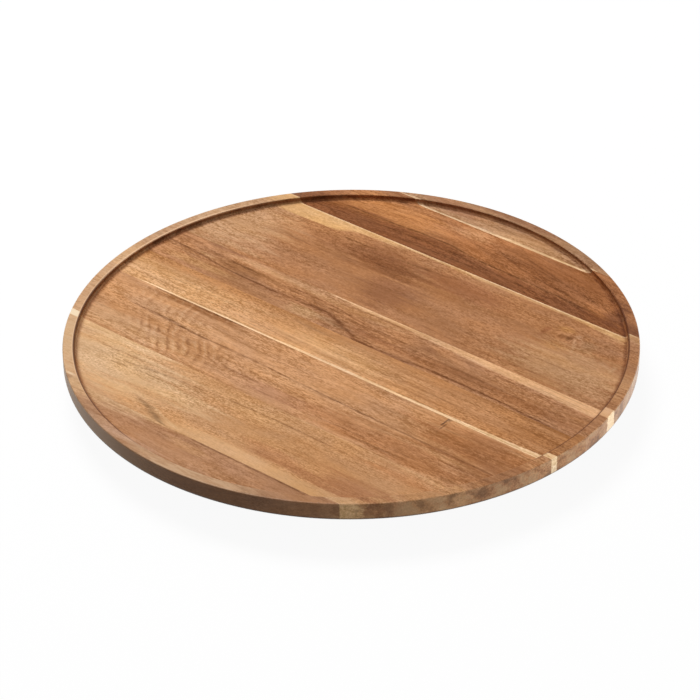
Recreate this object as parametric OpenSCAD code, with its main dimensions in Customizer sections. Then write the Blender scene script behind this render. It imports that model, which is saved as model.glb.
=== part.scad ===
// Lazy susan: a round, rimmed top glued up from eight boards, turning on a pressed steel
// ball bearing above a round wooden base on four screwed rubber feet.
// Millimetres. The origin is the middle of the table face under the feet, Z is the turning
// axis, and X runs along the boards.

/* [Top] */
// outside diameter of the round top
top_d = 457; // [400:1:600]
// thickness of the top at its rim
top_t = 15; // [14:0.5:25]
// width of the raised rim
rim_w = 9; // [6:0.5:20]
// depth of the serving recess below the rim
recess_depth = 5; // [3:0.25:6]
// radius of the cove between the recess wall and its floor
cove_r = 3.5; // [1:0.25:5]
// rounding of the rim's outer top edge
rim_outer_ease = 1; // [0.5:0.25:3]
// rounding of the rim's inner top edge
rim_inner_ease = 0.75; // [0.25:0.25:1.5]
// rounding of the top's lower edge
lower_edge_ease = 2.5; // [0.5:0.25:5]

/* [Boards of the top] */
// width of board 1, the one at the far edge; the eight widths are scaled together to fill the top
board_1_w = 29.5; // [20:0.5:40]
// width of board 2
board_2_w = 60; // [40:0.5:80]
// width of board 3
board_3_w = 96; // [75:0.5:115]
// width of board 4
board_4_w = 43; // [30:0.5:55]
// width of board 5
board_5_w = 39; // [30:0.5:55]
// width of board 6
board_6_w = 72; // [50:0.5:95]
// width of board 7
board_7_w = 71; // [50:0.5:95]
// width of board 8, the one at the near edge
board_8_w = 46.5; // [30:0.5:60]

/* [Bearing] */
// side of the two square plates
plate_side = 152; // [134:1:172]
// rounding of the plates' corners
plate_corner_r = 12; // [4:1:16]
// thickness of the pressed sheet
sheet_t = 1; // [0.8:0.05:1.2]
// least width of the flat flange around a plate's pressed ring
flange_w = 12.5; // [10:0.25:16]
// distance of a screw hole from each of the two plate edges beside it
hole_inset = 9.5; // [8:0.25:12]
// diameter of a ball
ball_d = 5; // [4.25:0.25:6]
// number of balls
ball_count = 40; // [24:1:46]
// play between a ball and each race
race_play = 0.05; // [0.02:0.01:0.1]
// how much wider than a ball the race groove is, on the radius
groove_ease = 0.1; // [0.05:0.05:0.3]
// space between the back of a race groove and the wood
groove_stand_off = 0.45; // [0.3:0.05:1]
// width of the flat land between the race groove and the ring's outer step
outer_land_w = 1.4; // [1:0.1:3]
// width of the flat land between the race groove and the collar
inner_land_w = 5.4; // [5:0.1:8]
// gap between the collar and the lower plate's hole
collar_gap = 0.5; // [0.3:0.05:1]
// gap between the collar's turned-out lip and the lower plate
lip_gap = 0.3; // [0.2:0.05:0.5]
// space between the lip and the base
lip_clearance = 0.3; // [0.2:0.05:0.6]
// how far the lip reaches out under the lower plate
lip_reach = 3; // [2:0.25:4]

/* [Plate screws] */
// diameter of a plate screw over its thread
plate_screw_d = 4; // [3:0.25:4.5]
// diameter of a plate screw's head
plate_screw_head_d = 7.6; // [6:0.2:9]
// height of a plate screw's head
plate_screw_head_h = 2.2; // [1.6:0.1:2.4]
// wood left between the end of any screw hole and the next face
screw_skin = 2.5; // [1.5:0.25:3.5]

/* [Base] */
// diameter of the round base
base_d = 250; // [220:1:300]
// thickness of the base
base_t = 12; // [10:0.5:20]
// rounding of the base's edges
base_ease = 3; // [1:0.25:4]
// width of the middle stave as a share of the base's diameter
middle_stave_share = 0.336; // [0.32:0.002:0.4]
// diameter of the hole that the upper plate screws are driven through
access_hole_d = 20; // [16:0.5:22]

/* [Feet] */
// diameter of a foot where it meets the base
foot_d = 20; // [18:0.5:22]
// diameter of a foot where it meets the table
foot_tread_d = 17.5; // [15:0.5:18]
// height of a foot
foot_h = 6; // [5.5:0.25:9]
// bevel around a foot's tread
foot_bevel = 0.8; // [0.4:0.1:1]
// distance of a foot's middle from the base's edge
foot_inset = 15; // [15:0.5:25]
// depth of the pocket for the screw head
foot_pocket_depth = 3.2; // [3:0.1:4]
// diameter of a foot washer
washer_d = 9; // [8.5:0.25:10]
// thickness of a foot washer
washer_t = 0.8; // [0.6:0.1:1]
// diameter of a foot screw over its thread
foot_screw_d = 3.5; // [3:0.25:4]
// diameter of a foot screw's head
foot_screw_head_d = 7; // [6:0.2:8]
// height of a foot screw's head
foot_screw_head_h = 1.9; // [1.5:0.1:2]

/* [Hidden] */
$fn = 96;
top_r = top_d / 2;
recess_r = top_r - rim_w;
floor_t = top_t - recess_depth;
cove = min(cove_r, recess_depth - rim_inner_ease);
ease_flats = 4;
ball_r = ball_d / 2;
groove_r = ball_r + groove_ease;
groove_back_r = groove_r + sheet_t;
bearing_h = ball_d + 2 * (race_play + sheet_t + groove_stand_off);

// heights above the table
base_z = foot_h;
bearing_z = base_z + base_t;
top_z = bearing_z + bearing_h;

// heights of a plate's pressed ring and collar, measured from the plate's wood face
groove_z = groove_stand_off + groove_back_r;
platform_rise = sheet_t + lip_gap + lip_clearance;
platform_top = platform_rise + sheet_t;
lip_top = bearing_h - platform_rise + lip_gap;

// radii of the ring and the collar, from the flange inwards
step_bend_share = 0.4;
step_bend_r = step_bend_share * (platform_rise - sheet_t);
flange_r = plate_side / 2 - flange_w;
platform_r = flange_r - sheet_t - 2 * step_bend_r;
ball_circle_r = platform_r - outer_land_w - groove_back_r;
collar_r = ball_circle_r - groove_back_r - inner_land_w;
bend_r = lip_gap;
flange_overlap = 1;
cut_over = 1;

// clearances around the screws
screw_play = 0.05;
plate_hole_play = 0.3;
pilot_extra = 0.5;
point_len = 2.5;
point_tip_r = 0.3;
head_round = 0.9;
cross_w = 0.9;
cross_share = 0.6;
cross_depth = 1.1;
foot_hole_play = 0.3;
pocket_play = 0.25;

// how deep each kind of screw goes into the wood, and its length beneath the head
upper_bite = floor_t - screw_skin - pilot_extra;
lower_bite = base_t - screw_skin - pilot_extra;
foot_web = foot_h - foot_pocket_depth;
upper_screw_len = sheet_t + upper_bite;
lower_screw_len = sheet_t + lower_bite;
foot_screw_len = washer_t + foot_web + lower_bite;

// the seams between the top's boards, from the far edge to the near edge
board_widths = [
    board_1_w,
    board_2_w,
    board_3_w,
    board_4_w,
    board_5_w,
    board_6_w,
    board_7_w,
    board_8_w
];
top_board_count = len(board_widths);
fill_scale = top_d / width_of_first(top_board_count);
seams = [for (i = [0 : top_board_count]) top_r - fill_scale * width_of_first(i)];
middle_stave_w = middle_stave_share * base_d;
base_seams = [base_d / 2, middle_stave_w / 2, -middle_stave_w / 2, -base_d / 2];
base_board_count = len(base_seams) - 1;

// plan positions of the screws, the feet and the access hole
hole_half = plate_side / 2 - hole_inset;
plate_screw_spots = [for (x = [-1, 1], y = [-1, 1]) [x * hole_half, y * hole_half]];
foot_count = 4;
foot_circle_r = base_d / 2 - foot_inset;
foot_spots = [for (i = [0 : foot_count - 1]) let (a = i * 360 / foot_count) foot_circle_r * [cos(a), sin(a)]];
access_hole_angle = 15;
access_hole_spot = hole_half * sqrt(2) * [cos(access_hole_angle), sin(access_hole_angle)];

top_board_colours = [
    [0.68, 0.51, 0.35],
    [0.61, 0.38, 0.24],
    [0.68, 0.48, 0.32],
    [0.66, 0.45, 0.30],
    [0.75, 0.52, 0.32],
    [0.70, 0.49, 0.32],
    [0.77, 0.58, 0.38],
    [0.68, 0.48, 0.33]
];
base_wood = [0.63, 0.44, 0.29];
zinc = [0.72, 0.74, 0.76];
ball_steel = [0.82, 0.83, 0.84];
screw_steel = [0.60, 0.60, 0.58];
foot_rubber = [0.12, 0.12, 0.12];

for (i = [1 : top_board_count]) {
    top_board(i);
}
upper_bearing_plate();
bearing_balls();
lower_bearing_plate();
upper_plate_screws();
lower_plate_screws();
for (i = [1 : base_board_count]) {
    base_board(i);
}
for (i = [1 : foot_count]) {
    rubber_foot(i);
}
foot_washers();
foot_screws();

// Width of the first n boards together.
function width_of_first(n) = n == 0 ? 0 : board_widths[n - 1] + width_of_first(n - 1);

// One board of the top: a strip of the turned disc between two seams.
module top_board(i) {
    far_seam = seams[i - 1];
    near_seam = seams[i];
    color(top_board_colours[i - 1])
    translate([0, 0, top_z])
    difference() {
        intersection() {
            rotate_extrude() top_section();
            translate([-top_r, near_seam, 0]) cube([top_d, far_seam - near_seam, top_t]);
        }
        for (p = plate_screw_spots) {
            if (p.y - plate_screw_d < far_seam && p.y + plate_screw_d > near_seam) {
                translate([p.x, p.y, 0]) pilot_hole(plate_screw_d, upper_bite);
            }
        }
    }
}

// Half section of the turned top: eased rim, coved recess, rounded lower edge.
module top_section() {
    difference() {
        square([top_r, top_t]);
        recess_section();
        translate([top_r, top_t]) corner_ease(rim_outer_ease, [-1, -1]);
        translate([top_r, 0]) corner_ease(lower_edge_ease, [-1, 1]);
        translate([recess_r, top_t]) corner_ease(rim_inner_ease, [1, -1]);
    }
}

// The wood turned away inside the rim.
module recess_section() {
    translate([0, floor_t]) square([recess_r - cove, recess_depth]);
    translate([0, floor_t + cove]) square([recess_r, recess_depth - cove]);
    translate([recess_r - cove, floor_t + cove]) circle(cove);
}

// What easing takes off a square corner at the origin, in a few flats; dir points into the wood.
module corner_ease(r, dir) {
    step = 90 / ease_flats;
    scale(dir)
    polygon(concat([[0, 0]], [for (i = [0 : ease_flats]) r * [1 - sin(i * step), 1 - cos(i * step)]]));
}

// The plate screwed to the top. Its collar goes through the lower plate and turns out under it.
module upper_bearing_plate() {
    color(zinc)
    translate([0, 0, bearing_z + bearing_h])
    mirror([0, 0, 1]) {
        plate_flange();
        rotate_extrude() grooved(upper_outline());
    }
}

// The plate screwed to the base.
module lower_bearing_plate() {
    color(zinc)
    translate([0, 0, bearing_z]) {
        plate_flange();
        rotate_extrude() grooved(lower_outline());
    }
}

// The flat outer part of a plate, with its corner holes.
module plate_flange() {
    linear_extrude(sheet_t)
    difference() {
        rounded_square(plate_side, plate_corner_r);
        circle(flange_r);
        for (p = plate_screw_spots) {
            translate(p) circle(plate_screw_d / 2 + plate_hole_play);
        }
    }
}

module rounded_square(side, r) {
    half = side / 2;
    square([side, side - 2 * r], center = true);
    square([side - 2 * r, side], center = true);
    for (x = [-1, 1], y = [-1, 1]) {
        translate([x * (half - r), y * (half - r)]) circle(r);
    }
}

// Section of a pressed ring: the bent sheet's outline, with the ball groove pressed into it.
module grooved(outline) {
    difference() {
        union() {
            polygon(outline);
            groove_back();
        }
        translate([ball_circle_r, groove_z]) circle(groove_r);
    }
}

// The sheet's outer face around the ball groove, below the platform's top.
module groove_back() {
    intersection() {
        translate([ball_circle_r, groove_z]) circle(groove_back_r);
        translate([ball_circle_r - groove_back_r, groove_stand_off])
        square([2 * groove_back_r, platform_top - groove_stand_off]);
    }
}

// The bent sheet of the upper plate, from its lip to the flange and back.
function upper_outline() = concat(collar_face(), step_face(), reversed(concat(collar_back(), step_back())));

// The bent sheet of the lower plate, from its hole to the flange and back.
function lower_outline() = concat(
    [[collar_r + collar_gap, platform_top]],
    step_face(),
    reversed(step_back()),
    [[collar_r + collar_gap, platform_rise]]
);

// The two faces of the step from the platform down to the flange, from inside to outside.
function step_face() = concat(
    bend([platform_r, platform_rise - step_bend_r], step_bend_r + sheet_t, 90, 0),
    bend([flange_r, sheet_t + step_bend_r], step_bend_r, 180, 270),
    [[flange_r + flange_overlap, sheet_t]]
);
function step_back() = concat(
    bend([platform_r, platform_rise - step_bend_r], step_bend_r, 90, 0),
    bend([flange_r, sheet_t + step_bend_r], step_bend_r + sheet_t, 180, 270),
    [[flange_r + flange_overlap, 0]]
);

// The two faces of the collar, from the edge of its turned-out lip to the platform.
function collar_face() = concat(
    [[collar_r + lip_reach, lip_top]],
    bend([collar_r + bend_r, lip_top - bend_r], bend_r, 90, 180),
    bend([collar_r + bend_r, platform_top + bend_r], bend_r, 180, 270)
);
function collar_back() = concat(
    [[collar_r + lip_reach, lip_top + sheet_t]],
    bend([collar_r + bend_r, lip_top - bend_r], bend_r + sheet_t, 90, 180),
    bend([collar_r + bend_r, platform_top + bend_r], bend_r + sheet_t, 180, 270)
);

// A bend's face in a few flats, turning about the centre from one angle to the other.
function bend(centre, r, from, to) = [
    for (i = [0 : ease_flats]) let (a = from + (to - from) * i / ease_flats) centre + r * [cos(a), sin(a)]
];

function reversed(points) = [for (i = [len(points) - 1 : -1 : 0]) points[i]];

module bearing_balls() {
    color(ball_steel)
    for (i = [0 : ball_count - 1]) {
        rotate([0, 0, i * 360 / ball_count])
        translate([ball_circle_r, 0, bearing_z + bearing_h / 2])
        sphere(ball_r);
    }
}

// Driven upwards: heads under the upper plate, points in the top.
module upper_plate_screws() {
    color(screw_steel)
    for (p = plate_screw_spots) {
        translate([p.x, p.y, top_z - sheet_t])
        pan_head_screw(plate_screw_d, upper_screw_len, plate_screw_head_d, plate_screw_head_h);
    }
}

// Driven downwards: heads on the lower plate, points in the base.
module lower_plate_screws() {
    color(screw_steel)
    for (p = plate_screw_spots) {
        translate([p.x, p.y, bearing_z + sheet_t])
        mirror([0, 0, 1])
        pan_head_screw(plate_screw_d, lower_screw_len, plate_screw_head_d, plate_screw_head_h);
    }
}

// A screw that points up, with the seat of its head on the plane z = 0.
module pan_head_screw(d, len, head_d, head_h) {
    cylinder(d = d, h = len - point_len);
    translate([0, 0, len - point_len]) cylinder(r1 = d / 2, r2 = point_tip_r, h = point_len);
    difference() {
        rotate_extrude() translate([0, -head_h]) pan_head_section(head_d / 2, head_h);
        for (a = [0, 90]) {
            rotate([0, 0, a])
            translate([-head_d * cross_share / 2, -cross_w / 2, -head_h])
            cube([head_d * cross_share, cross_w, cross_depth]);
        }
    }
}

module pan_head_section(r, h) {
    translate([0, head_round]) square([r, h - head_round]);
    square([r - head_round, head_round]);
    translate([r - head_round, head_round]) circle(head_round);
}

// The hole that a screw cuts for itself, going up from the plane z = 0.
module pilot_hole(d, depth) {
    cylinder(d = d + 2 * screw_play, h = depth + pilot_extra);
}

// One stave of the round base.
module base_board(i) {
    far_seam = base_seams[i - 1];
    near_seam = base_seams[i];
    color(base_wood)
    difference() {
        intersection() {
            translate([0, 0, base_z]) rotate_extrude() base_section();
            translate([-base_d / 2, near_seam, base_z]) cube([base_d, far_seam - near_seam, base_t]);
        }
        if (near_seam < 0 && far_seam > 0) {
            translate([access_hole_spot.x, access_hole_spot.y, base_z - cut_over])
            cylinder(d = access_hole_d, h = base_t + 2 * cut_over);
        }
        for (p = plate_screw_spots) {
            if (p.y - plate_screw_d < far_seam && p.y + plate_screw_d > near_seam) {
                translate([p.x, p.y, bearing_z])
                mirror([0, 0, 1])
                pilot_hole(plate_screw_d, lower_bite);
            }
        }
        for (p = foot_spots) {
            if (p.y - foot_screw_d < far_seam && p.y + foot_screw_d > near_seam) {
                translate([p.x, p.y, base_z]) pilot_hole(foot_screw_d, lower_bite);
            }
        }
    }
}

module base_section() {
    base_r = base_d / 2;
    difference() {
        square([base_r, base_t]);
        translate([base_r, base_t]) corner_ease(base_ease, [-1, -1]);
        translate([base_r, 0]) corner_ease(base_ease, [-1, 1]);
    }
}

// A tapered foot with a pocket in its tread for the washer and the screw head.
module rubber_foot(i) {
    spot = foot_spots[i - 1];
    tread_r = foot_tread_d / 2;
    pocket_r = washer_d / 2 + pocket_play;
    color(foot_rubber)
    translate([spot.x, spot.y, 0])
    difference() {
        union() {
            cylinder(r1 = tread_r - foot_bevel, r2 = tread_r, h = foot_bevel);
            translate([0, 0, foot_bevel]) cylinder(r1 = tread_r, r2 = foot_d / 2, h = foot_h - foot_bevel);
        }
        translate([0, 0, -cut_over]) cylinder(r = pocket_r, h = foot_pocket_depth + cut_over);
        cylinder(d = foot_screw_d + foot_hole_play, h = foot_h + cut_over);
    }
}

module foot_washers() {
    color(zinc)
    for (p = foot_spots) {
        translate([p.x, p.y, foot_pocket_depth - washer_t])
        difference() {
            cylinder(d = washer_d, h = washer_t);
            translate([0, 0, -cut_over])
            cylinder(d = foot_screw_d + foot_hole_play, h = washer_t + 2 * cut_over);
        }
    }
}

module foot_screws() {
    color(screw_steel)
    for (p = foot_spots) {
        translate([p.x, p.y, foot_pocket_depth - washer_t])
        pan_head_screw(foot_screw_d, foot_screw_len, foot_screw_head_d, foot_screw_head_h);
    }
}
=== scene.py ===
"""Looks of the lazy susan: a rimmed top of eight oiled boards on a ball bearing and a footed base.

Metres in Blender, millimetres inside the wood materials. X runs along the boards and Z is the turning axis.
"""

import math

import bmesh
import bpy
from mathutils import Matrix, Vector


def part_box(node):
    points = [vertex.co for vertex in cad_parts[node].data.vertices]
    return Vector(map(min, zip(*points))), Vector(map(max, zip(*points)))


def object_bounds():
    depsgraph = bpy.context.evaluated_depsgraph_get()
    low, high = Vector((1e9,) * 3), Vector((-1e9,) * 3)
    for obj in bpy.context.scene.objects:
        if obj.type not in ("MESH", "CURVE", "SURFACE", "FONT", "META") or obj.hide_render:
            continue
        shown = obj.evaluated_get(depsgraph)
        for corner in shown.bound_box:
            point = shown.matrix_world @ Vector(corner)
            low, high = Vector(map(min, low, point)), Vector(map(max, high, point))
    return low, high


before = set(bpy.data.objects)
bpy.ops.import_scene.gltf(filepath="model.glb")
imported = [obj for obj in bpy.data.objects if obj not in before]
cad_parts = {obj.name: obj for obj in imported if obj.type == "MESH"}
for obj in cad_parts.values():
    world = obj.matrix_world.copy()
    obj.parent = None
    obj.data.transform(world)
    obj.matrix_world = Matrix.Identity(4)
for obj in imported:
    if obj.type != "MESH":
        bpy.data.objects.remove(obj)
cad_low, cad_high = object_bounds()

MM = 1000.0
TOP_RADIUS = cad_high.x * MM
RIM_HEIGHT = cad_high.z
RIM_TOP = RIM_HEIGHT * MM
RIM_WIDTH = 9.0
RECESS_DEPTH = 5.0
BOARD_THICKNESS = 15.0
OUTER_EASE = 1.0
RIM_INSIDE = TOP_RADIUS - RIM_WIDTH
RECESS_FLOOR = RIM_TOP - RECESS_DEPTH
BOARD_UNDERSIDE = RIM_TOP - BOARD_THICKNESS

# Directions across the top: where the rim and side are painted lighter, where painted shade climbs the cove,
# and where the painted corner shade stays narrow
LIGHTER_SIDE = (-0.966, -0.259, 0.0)
SHADE_SIDE = (0.574, -0.819, 0.0)
NARROW_SHADE_SIDE = (-0.174, 0.985, 0.0)

# Middle of another stretch of rim that is painted lighter, in millimetres
SECOND_LIGHT_STRETCH = (25.0, -223.0, 0.0)


# Small helpers for shader graphs

def tint(hex_colour):
    """The linear colour of a paint chip written as rrggbb."""
    parts = [int(hex_colour[i:i + 2], 16) / 255 for i in (0, 2, 4)]
    linear = [p / 12.92 if p <= 0.04045 else ((p + 0.055) / 1.055) ** 2.4 for p in parts]
    return (*linear, 1.0)


class Graph:
    """Adds nodes to one node tree; every argument is a socket or a plain value."""

    def __init__(self, tree):
        self.tree = tree

    def node(self, kind, **settings):
        made = self.tree.nodes.new(kind)
        for name, value in settings.items():
            setattr(made, name, value)
        return made

    def feed(self, socket, value):
        if isinstance(value, bpy.types.NodeSocket):
            self.tree.links.new(value, socket)
        else:
            socket.default_value = value

    def math(self, operation, a, b=0.0):
        made = self.node("ShaderNodeMath", operation=operation)
        self.feed(made.inputs[0], a)
        self.feed(made.inputs[1], b)
        return made.outputs[0]

    def plus(self, a, b):
        return self.math("ADD", a, b)

    def minus(self, a, b):
        return self.math("SUBTRACT", a, b)

    def times(self, a, b):
        return self.math("MULTIPLY", a, b)

    def larger(self, a, b):
        return self.math("MAXIMUM", a, b)

    def vector(self, operation, a, b=(0.0, 0.0, 0.0)):
        made = self.node("ShaderNodeVectorMath", operation=operation)
        self.feed(made.inputs[0], a)
        self.feed(made.inputs[1], b)
        return made.outputs["Value" if operation in ("LENGTH", "DOT_PRODUCT") else "Vector"]

    def flat_length(self, place):
        """Length of a vector as seen from above."""
        return self.vector("LENGTH", self.vector("MULTIPLY", place, (1.0, 1.0, 0.0)))

    def towards(self, place, side):
        """How far a place lies from the middle towards one side."""
        return self.vector("DOT_PRODUCT", place, side)

    def split(self, place):
        made = self.node("ShaderNodeSeparateXYZ")
        self.feed(made.inputs[0], place)
        return made.outputs["X"], made.outputs["Y"], made.outputs["Z"]

    def join(self, x, y, z):
        made = self.node("ShaderNodeCombineXYZ")
        for socket, value in zip(made.inputs, (x, y, z)):
            self.feed(socket, value)
        return made.outputs[0]

    def ramp(self, value, low, high, start=0.0, end=1.0, smooth=True):
        """Goes from start to end while the value goes from low to high."""
        made = self.node("ShaderNodeMapRange", interpolation_type="SMOOTHSTEP" if smooth else "LINEAR")
        for socket, given in zip(made.inputs, (value, low, high, start, end)):
            self.feed(socket, given)
        return made.outputs[0]

    def between(self, mask, start, end):
        """Goes evenly from start to end while the mask goes from 0 to 1."""
        return self.ramp(mask, 0.0, 1.0, start, end, smooth=False)

    def lessen(self, mask, share):
        """1 where the mask is 0, and less by this share where it is 1."""
        return self.between(mask, 1.0, 1.0 - share)

    def noise(self, place, lengths, detail=2.0, roughness=0.5):
        """Cloudy noise whose features are about these lengths along X, Y and Z."""
        made = self.node("ShaderNodeTexNoise")
        self.feed(made.inputs["Vector"], self.vector("DIVIDE", place, lengths))
        made.inputs["Scale"].default_value = 1.0
        made.inputs["Detail"].default_value = detail
        made.inputs["Roughness"].default_value = roughness
        return made.outputs[0]

    def waver(self, place, lengths, amount, detail=2.0):
        """Cloudy noise about zero, over this amount in all."""
        return self.times(self.minus(self.noise(place, lengths, detail), 0.5), amount)

    def blend(self, amount, a, b, blend_type="MIX"):
        made = self.node("ShaderNodeMix", data_type="RGBA", blend_type=blend_type)
        self.feed(made.inputs[0], amount)
        self.feed(made.inputs[6], a)
        self.feed(made.inputs[7], b)
        return made.outputs[2]

    def grey(self, value):
        made = self.node("ShaderNodeCombineColor")
        for socket in made.inputs:
            self.feed(socket, value)
        return made.outputs[0]

    def curve(self, value, points):
        """A smooth line through given (value, height) points."""
        first, last = points[0][0], points[-1][0]
        lowest = min(height for _, height in points)
        span = max(height for _, height in points) - lowest
        made = self.node("ShaderNodeFloatCurve")
        line = made.mapping.curves[0]
        for index, (spot, height) in enumerate(points):
            at = ((spot - first) / (last - first), (height - lowest) / span)
            if index == 0:
                line.points[0].location = at
            elif index == len(points) - 1:
                line.points[-1].location = at
            else:
                line.points.new(*at)
        for point in line.points:
            point.handle_type = "AUTO_CLAMPED"
        made.mapping.update()
        self.feed(made.inputs["Value"], self.ramp(value, first, last, smooth=False))
        return self.plus(self.times(made.outputs[0], span), lowest)

    def use(self, group, **given):
        """Places a shared effect and returns its outputs; a value's name is the input's, in lower case."""
        made = self.node("ShaderNodeGroup", node_tree=group)
        for socket in made.inputs:
            key = socket.name.lower().replace(" ", "_")
            if key in given:
                self.feed(socket, given[key])
        return made.outputs


def effect(name, inputs, outputs):
    """An empty shared effect with named sockets: its tree, its graph, and its input and output nodes."""
    kinds = {"value": "NodeSocketFloat", "vector": "NodeSocketVector"}
    tree = bpy.data.node_groups.new(name, "ShaderNodeTree")
    for socket, kind in inputs.items():
        tree.interface.new_socket(name=socket, in_out="INPUT", socket_type=kinds[kind])
    for socket, kind in outputs.items():
        tree.interface.new_socket(name=socket, in_out="OUTPUT", socket_type=kinds[kind])
    graph = Graph(tree)
    return tree, graph, graph.node("NodeGroupInput").outputs, graph.node("NodeGroupOutput").inputs


# Effects that several materials share

def place_in_millimetres():
    tree, g, _, out = effect("place_in_millimetres", {}, {"Place": "vector"})
    place = g.node("ShaderNodeTexCoord").outputs["Object"]
    g.feed(out["Place"], g.vector("MULTIPLY", place, (MM, MM, MM)))
    return tree


def wandering_grain():
    """Clouds, streaks, flecks and fibres drawn out along X, on lines that wander across the board."""
    tree, g, given, out = effect(
        "wandering_grain",
        {"Place": "vector", "Seed": "value", "Sway": "value"},
        {
            "Broad": "value", "Streak": "value", "Fleck": "value", "Fibre": "value",
            "Grit": "value", "Hairline": "value", "Pore": "value", "Warmth": "value", "Life": "value",
        },
    )
    seed = given["Seed"]
    elsewhere = g.vector("MULTIPLY", g.join(seed, seed, seed), (311.0, 173.0, 97.0))
    moved = g.vector("ADD", given["Place"], elsewhere)
    shift = g.times(g.waver(moved, (150.0, 45.0, 45.0), 2.0, detail=1.0), given["Sway"])
    lines = g.vector("ADD", moved, g.join(0.0, shift, 0.0))
    g.feed(out["Broad"], g.ramp(g.noise(lines, (100.0, 19.0, 19.0), detail=3.0), 0.3, 0.7))
    g.feed(out["Streak"], g.ramp(g.noise(lines, (110.0, 3.6, 3.6), detail=3.0, roughness=0.6), 0.3, 0.7))
    g.feed(out["Fleck"], g.ramp(g.noise(lines, (12.0, 2.6, 2.6), detail=3.0, roughness=0.7), 0.32, 0.68))
    g.feed(out["Fibre"], g.ramp(g.noise(lines, (3.8, 1.25, 1.25), detail=2.0, roughness=0.6), 0.3, 0.7))
    g.feed(out["Grit"], g.ramp(g.noise(moved, (1.9, 1.2, 1.2), detail=2.0, roughness=0.6), 0.3, 0.7))
    g.feed(out["Hairline"], g.ramp(g.noise(lines, (75.0, 1.7, 1.7), detail=2.0), 0.6, 0.72))
    g.feed(out["Pore"], g.ramp(g.noise(lines, (6.0, 0.5, 0.5), detail=1.0), 0.6, 0.72))
    g.feed(out["Warmth"], g.ramp(g.noise(lines, (45.0, 16.0, 16.0), detail=2.0), 0.3, 0.7))
    g.feed(out["Life"], g.ramp(g.noise(lines, (65.0, 20.0, 20.0), detail=1.0), 0.35, 0.65))
    return tree


def growth_rings():
    """Dark late-wood lines of rings about a pith line that runs along X."""
    tree, g, given, out = effect(
        "growth_rings",
        {
            "Place": "vector", "Seed": "value",
            "Pith across": "value", "Pith height": "value", "Spacing": "value",
        },
        {"Line": "value"},
    )
    _, y, z = g.split(given["Place"])
    seed = g.times(given["Seed"], 211.0)
    moved = g.vector("ADD", given["Place"], g.join(seed, seed, seed))
    warp = g.noise(moved, (120.0, 40.0, 40.0), detail=2.0)
    across = g.minus(y, given["Pith across"])
    up = g.minus(z, given["Pith height"])
    radius = g.vector("LENGTH", g.join(0.0, across, up))
    phase = g.plus(g.math("DIVIDE", radius, given["Spacing"]), g.times(warp, 5.0))
    saw = g.math("FRACT", phase)
    rise = g.ramp(saw, 0.45, 0.92)
    fall = g.ramp(saw, 0.94, 1.0, 1.0, 0.0)
    g.feed(out["Line"], g.times(rise, fall))
    return tree


def soft_patch():
    """An oval of other colour whose edge frays out along the grain."""
    tree, g, given, out = effect(
        "soft_patch",
        {"Place": "vector", "Centre": "vector", "Reach": "vector"},
        {"Mask": "value"},
    )
    away = g.vector("DIVIDE", g.vector("SUBTRACT", given["Place"], given["Centre"]), given["Reach"])
    fray = g.waver(given["Place"], (60.0, 4.5, 4.5), 1.7, detail=3.0)
    g.feed(out["Mask"], g.ramp(g.plus(g.flat_length(away), fray), 0.3, 1.15, 1.0, 0.0))
    return tree


def curl_ripple():
    """Slanting ripples across the grain: a dark trough with a sharp side, then a pale crest; both partly the
    figure's colour and partly painted shade and painted highlight.
    """
    tree, g, given, out = effect(
        "curl_ripple",
        {"Place": "vector", "Spacing": "value", "Slant": "value"},
        {"Trough": "value", "Crest": "value"},
    )
    x, y, _ = g.split(given["Place"])
    broad = g.waver(given["Place"], (40.0, 24.0, 24.0), 14.0)
    small = g.waver(given["Place"], (6.0, 4.0, 4.0), 4.0)
    leaning = g.plus(g.plus(x, g.times(y, given["Slant"])), g.plus(broad, small))
    wave = g.math("FRACT", g.math("DIVIDE", leaning, given["Spacing"]))
    along_ripple = g.noise(g.join(leaning, y, 0.0), (10.0, 9.0, 1.0), detail=2.0)
    uneven = g.ramp(along_ripple, 0.38, 0.6, 0.1, 1.0)
    trough = g.times(g.ramp(wave, 0.0, 0.18), g.ramp(wave, 0.18, 0.56, 1.0, 0.0))
    crest = g.times(g.ramp(wave, 0.55, 0.8), g.ramp(wave, 0.84, 1.0, 1.0, 0.0))
    g.feed(out["Trough"], g.times(trough, uneven))
    g.feed(out["Crest"], g.times(crest, uneven))
    return tree


def knot_swirl():
    """Bows the grain lines round a small knot and leaves its heart plain."""
    tree, g, given, out = effect(
        "knot_swirl",
        {"Place": "vector", "Centre": "vector", "Reach": "vector"},
        {"Place": "vector"},
    )
    x, y, z = g.split(given["Place"])
    away = g.vector("SUBTRACT", given["Place"], given["Centre"])
    distance = g.flat_length(g.vector("DIVIDE", away, given["Reach"]))
    nearness = g.math("EXPONENT", g.times(g.times(distance, distance), -1.0))
    pinched = g.minus(y, g.times(g.split(away)[1], nearness))
    g.feed(out["Place"], g.join(x, pinched, z))
    return tree


def end_grain():
    """Where the face cuts across the fibres, at the two ends of a board: thirsty pale and dark blotches."""
    tree, g, given, out = effect(
        "end_grain",
        {"Place": "vector"},
        {"Mask": "value", "Pale": "value", "Dark": "value"},
    )
    along = g.math("ABSOLUTE", g.split(g.node("ShaderNodeTexCoord").outputs["Normal"])[0])
    mask = g.ramp(along, 0.35, 0.95)
    blotch = g.noise(given["Place"], (13.0, 13.0, 11.0), detail=4.0, roughness=0.62)
    g.feed(out["Mask"], mask)
    g.feed(out["Pale"], g.times(mask, g.ramp(blotch, 0.46, 0.64)))
    g.feed(out["Dark"], g.times(mask, g.ramp(blotch, 0.51, 0.36)))
    return tree


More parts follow.
